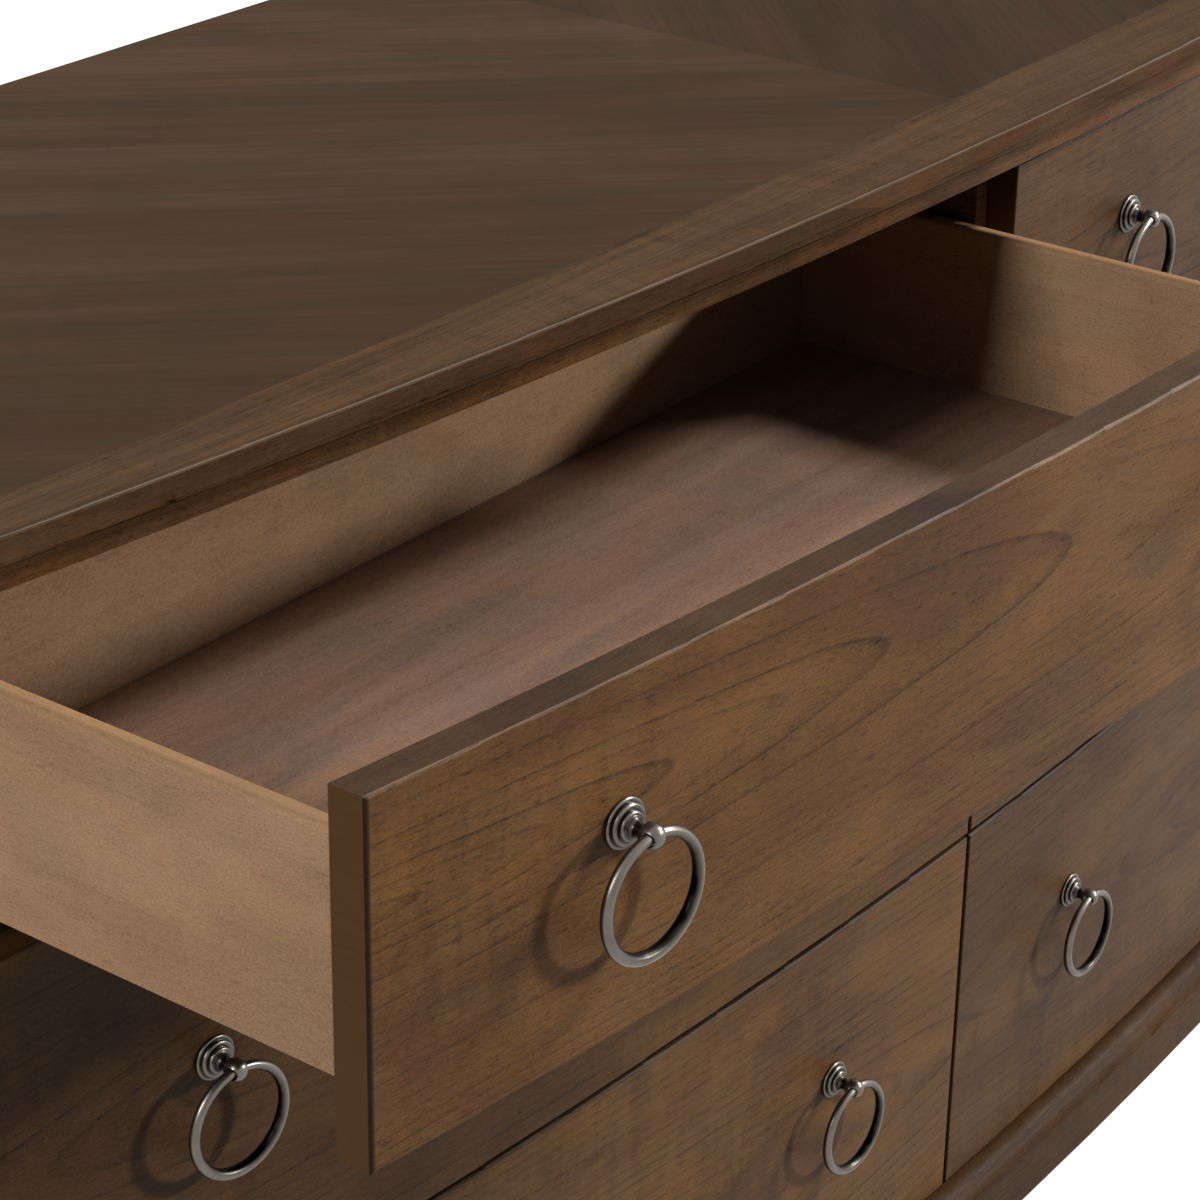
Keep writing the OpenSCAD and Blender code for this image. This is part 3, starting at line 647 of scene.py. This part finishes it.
def carve(bm, cutters):
    mesh = bpy.data.meshes.new("blank")
    bm.to_mesh(mesh)
    bm.free()
    blank = bpy.data.objects.new("blank", mesh)
    bpy.context.scene.collection.objects.link(blank)
    tools = []
    for cutter in cutters:
        cutMesh = bpy.data.meshes.new("cutter")
        cutter.to_mesh(cutMesh)
        cutter.free()
        tool = bpy.data.objects.new("cutter", cutMesh)
        bpy.context.scene.collection.objects.link(tool)
        tools.append(tool)
        boolean = blank.modifiers.new("carve", "BOOLEAN")
        boolean.object = tool
        boolean.solver = "EXACT"
    graph = bpy.context.evaluated_depsgraph_get()
    carved = bpy.data.meshes.new_from_object(blank.evaluated_get(graph))
    for spent in tools + [blank]:
        bpy.data.objects.remove(spent)
    return carved


def makePost():
    bore = bmesh.new()
    bmesh.ops.create_cone(bore, cap_ends=True, segments=pull["boreSides"], radius1=pull["bore"],
                          radius2=pull["bore"], depth=4 * pull["headRadius"])
    turn = Matrix.Translation((0, 0, pull["reach"])) @ Matrix.Rotation(math.pi / 2, 4, "Y")
    bmesh.ops.transform(bore, matrix=turn, verts=bore.verts)
    mesh = carve(lathe(rosette + waist + head, pull["postSteps"]), [bore])
    patinaAndShade = mesh.attributes.new("patinaAndShade", "FLOAT", "POINT")
    for i, vertex in enumerate(mesh.vertices):
        fromAxis = vertex.co.xy.length
        r, h = fromAxis * 1000, vertex.co.z * 1000
        recess = max(max(0, 1 - math.hypot(r - gr, h - gh) / reach) for gr, gh, reach in grooves)
        # Inside the bore the post is painted fully dark, as painted shade
        fromBore = math.hypot(vertex.co.y, vertex.co.z - pull["reach"])
        inBore = fromBore < pull["bore"] + mm(0.02) and fromAxis < pull["boreMouth"]
        patinaAndShade.data[i].value = 1.0 if inBore else pull["grooveTone"] * recess
    return mesh


def makeScrew():
    cross = []
    for turn in (0, math.pi / 2):
        blade = bmesh.new()
        bmesh.ops.create_cube(blade, size=1.0)
        size = Matrix.Diagonal((*pull["slot"], 1.0))
        place = Matrix.Translation((0, 0, -pull["screwHeight"])) @ Matrix.Rotation(turn, 4, "Z")
        bmesh.ops.transform(blade, matrix=place @ size, verts=blade.verts)
        cross.append(blade)
    return carve(lathe(screwHead, pull["screwSteps"]), cross)


def makeRing():
    bm = bmesh.new()
    bmesh.ops.create_circle(bm, segments=pull["wireSides"], radius=pull["wireTop"])
    onEdge = Matrix.Translation((0, 0, pull["ringRadius"]))
    bmesh.ops.transform(bm, matrix=onEdge @ Matrix.Rotation(math.pi / 2, 4, "Y"), verts=bm.verts)
    bmesh.ops.spin(bm, geom=bm.verts[:] + bm.edges[:], cent=(0, 0, 0), axis=(0, 1, 0),
                   angle=math.tau, steps=pull["ringSteps"], use_merge=True)
    bmesh.ops.remove_doubles(bm, verts=bm.verts, dist=pull["merge"])
    # The wire thickens from the bore down to the foot of the ring
    for vertex in bm.verts:
        outward = Vector((vertex.co.x, 0, vertex.co.z)).normalized()
        core = outward * pull["ringRadius"]
        swell = (1 - outward.z) / 2
        wire = pull["wireTop"] + (pull["wireBottom"] - pull["wireTop"]) * swell
        vertex.co = core + (vertex.co - core) * (wire / pull["wireTop"])
    bmesh.ops.recalc_face_normals(bm, faces=bm.faces)
    mesh = bpy.data.meshes.new("ring")
    bm.to_mesh(mesh)
    bm.free()
    # Patina and a painted dark reflection darken the inner side of the loop
    patinaAndShade = mesh.attributes.new("patinaAndShade", "FLOAT", "POINT")
    for i, vertex in enumerate(mesh.vertices):
        outward = Vector((vertex.co.x, 0, vertex.co.z))
        inner = (pull["ringRadius"] - outward.length) / pull["wireTop"]
        patinaAndShade.data[i].value = pull["grooveTone"] * max(0.0, min(1.0, inner))
    mesh.transform(Matrix.Translation((0, 0, -pull["ringDrop"])))
    return mesh


# One piece from several meshes, each with its place and the number of its material
def gather(name, body, parts, materials):
    bm = bmesh.new()
    for mesh, place, index in parts:
        start = len(bm.faces)
        copy = mesh.copy()
        copy.transform(place)
        bm.from_mesh(copy)
        bm.faces.ensure_lookup_table()
        for face in bm.faces[start:]:
            face.material_index = index
        bpy.data.meshes.remove(copy)
    mesh = bpy.data.meshes.new(name)
    bm.to_mesh(mesh)
    bm.free()
    for material in materials:
        mesh.materials.append(material)
    mesh.polygons.foreach_set("use_smooth", [True] * len(mesh.polygons))
    mesh.set_sharp_from_angle(angle=pull["crease"])
    piece = bpy.data.objects.new(name, mesh)
    bpy.context.scene.collection.objects.link(piece)
    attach(piece, body)
    return piece


postMesh = makePost()
screwMesh = makeScrew()
ringMesh = makeRing()
pins = {joint["child"]: joint for joint in frame["joints"] if joint["name"].endswith("_ring_swing")}
for drawer in drawers:
    parts = []
    for which in ("outer", "inner"):
        ringName = drawer + "_" + which + "_ring"
        pin = Vector(pins[ringName]["pos_m"])
        side = -Vector(pins[ringName]["axis"]).normalized()
        outward = side.cross(up)
        seat = pin - outward * pull["reach"]
        facing = Matrix((side, up, outward)).transposed().to_4x4()
        behind = Matrix.Translation(seat - outward * pull["frontThick"]) @ facing
        parts.append((postMesh, Matrix.Translation(seat) @ facing, 0))
        parts.append((screwMesh, behind, 1))
        hang = Matrix((side, -outward, up)).transposed().to_4x4()
        ring = gather(ringName + "_cast", ringName, [(ringMesh, Matrix.Translation(pin) @ hang, 0)],
                      [pewter])
        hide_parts(ringName)
    posts = gather(drawer + "_posts_cast", drawer + "_drawer", parts, [pewter, zinc])
    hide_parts(drawer + "_pull_posts")
for mesh in (postMesh, screwMesh, ringMesh):
    bpy.data.meshes.remove(mesh)
print("ring pulls cast")


# Studio: a white floor, soft boxes and the camera of the photograph

scene = bpy.context.scene
scene.view_settings.view_transform = "Standard"

studio = {
    "ambient": 0.05, "ambientColor": "#fdfcfa", "white": "#ffffff",
    "floorSize": 40.0, "floorColor": "#8c8b89", "floorGlow": 0.86,
    "aim": Vector((mm(-350), mm(-200), mm(750))),
    # Degrees from -Y towards +X, degrees up, distance, width, height, light level at the aim
    "lamps": {
        "rightBox": (64, 33, 20.0, 3.2, 3.2, 1.1),
        "frontKey": (44, 14, 20.0, 2.0, 1.4, 0.75),
        "leftBox": (-98, 30, 4.0, 0.94, 0.94, 0.72),
        "backFill": (165, 8, 20.0, 7.0, 5.0, 0.6),
    },
}


def addLamp(name, turn, rise, distance, width, height, level):
    light = bpy.data.lights.new(name, "AREA")
    light.shape = "RECTANGLE"
    light.size = width
    light.size_y = height
    light.energy = level * math.pi ** 2 * distance ** 2
    lamp = bpy.data.objects.new(name, light)
    scene.collection.objects.link(lamp)
    turn, rise = math.radians(turn), math.radians(rise)
    away = Vector((math.sin(turn) * math.cos(rise), -math.cos(turn) * math.cos(rise), math.sin(rise)))
    lamp.location = studio["aim"] + away * distance
    lamp.rotation_euler = away.to_track_quat("Z", "Y").to_euler()


for name, values in studio["lamps"].items():
    addLamp(name, *values)


def whiteWorld():
    world = bpy.data.worlds.new("studio")
    scene.world = world
    world.use_nodes = True
    tree = world.node_tree
    tree.nodes.clear()
    path = addNode(tree, "LightPath", {}, []).outputs
    seen = addNode(tree, "Math", larger, [path["Is Camera Ray"], path["Is Glossy Ray"]])
    seen = addNode(tree, "Math", larger, [seen, path["Is Transmission Ray"]])
    soft = addNode(tree, "Background", {}, [hexColor(studio["ambientColor"]), studio["ambient"]])
    white = addNode(tree, "Background", {}, [hexColor(studio["white"]), 1.0])
    mix = addNode(tree, "MixShader", {}, [seen, soft, white])
    addNode(tree, "OutputWorld", {}, [mix])


def paleFloor():
    bm = bmesh.new()
    bmesh.ops.create_grid(bm, x_segments=1, y_segments=1, size=studio["floorSize"] / 2)
    mesh = bpy.data.meshes.new("floor")
    bm.to_mesh(mesh)
    bm.free()
    material, tree = newMaterial("pale_floor")
    path = addNode(tree, "LightPath", {}, []).outputs
    seen = addNode(tree, "Math", larger, [path["Is Camera Ray"], path["Is Glossy Ray"]])
    matt = addNode(tree, "BsdfDiffuse", {}, [hexColor(studio["floorColor"])])
    glow = addNode(tree, "Emission", {}, [hexColor(studio["white"]), studio["floorGlow"]])
    both = addNode(tree, "AddShader", {}, [matt, glow])
    mix = addNode(tree, "MixShader", {}, [seen, matt, both])
    addNode(tree, "OutputMaterial", {}, [mix])
    mesh.materials.append(material)
    floor = bpy.data.objects.new("floor", mesh)
    scene.collection.objects.link(floor)


whiteWorld()
paleFloor()

# Where the photograph was taken from: degrees clockwise from +Y, degrees up, lens and sensor in mm
view = {
    "place": (-1.7118, -1.08234, 1.54942), "turn": 53.40463, "rise": -25.91023, "roll": 0.93605,
    "lens": 101.5643, "sensor": 36.0, "near": 0.05,
}
cameraData = bpy.data.cameras.new("camera")
cameraData.lens = view["lens"]
cameraData.sensor_width = view["sensor"]
cameraData.clip_start = view["near"]
camera = bpy.data.objects.new("camera", cameraData)
scene.collection.objects.link(camera)
camera.matrix_world = (
    Matrix.Translation(view["place"])
    @ Matrix.Rotation(math.radians(-view["turn"]), 4, "Z")
    @ Matrix.Rotation(math.radians(90 + view["rise"]), 4, "X")
    @ Matrix.Rotation(math.radians(view["roll"]), 4, "Z")
)
scene.camera = camera
print("studio ready")

bpy.context.view_layer.update()
